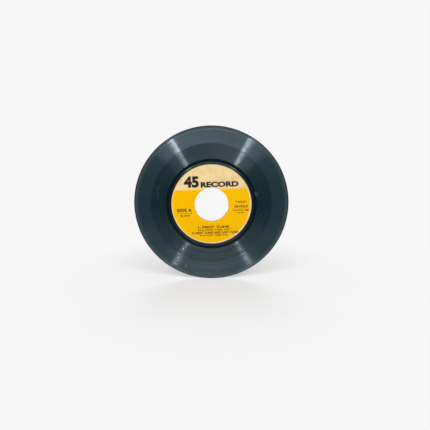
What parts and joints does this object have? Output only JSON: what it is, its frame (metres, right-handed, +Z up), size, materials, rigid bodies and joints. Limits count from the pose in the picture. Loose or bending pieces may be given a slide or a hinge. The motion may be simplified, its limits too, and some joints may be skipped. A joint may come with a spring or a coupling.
{
  "type": "vinyl record",
  "caption": "Seven-inch single: a pressed disc with a spiral groove in both sides, a wide centre hole and a paper label on each face.",
  "frame": {"origin": "centre of the disc: on the spindle axis, halfway through its thickness", "axes": "the disc stands upright on its rim; +Y along the spindle axis, from side A to side B; side A faces -Y; +Z up"},
  "size_m": [0.175, 0.002, 0.175],
  "materials": {
    "vinyl": "gloss",
    "label_paper": "satin"
  },
  "bodies": {
    "root": {"disc": "vinyl", "label_side_a": "label_paper", "label_side_b": "label_paper"}
  },
  "joints": []
}
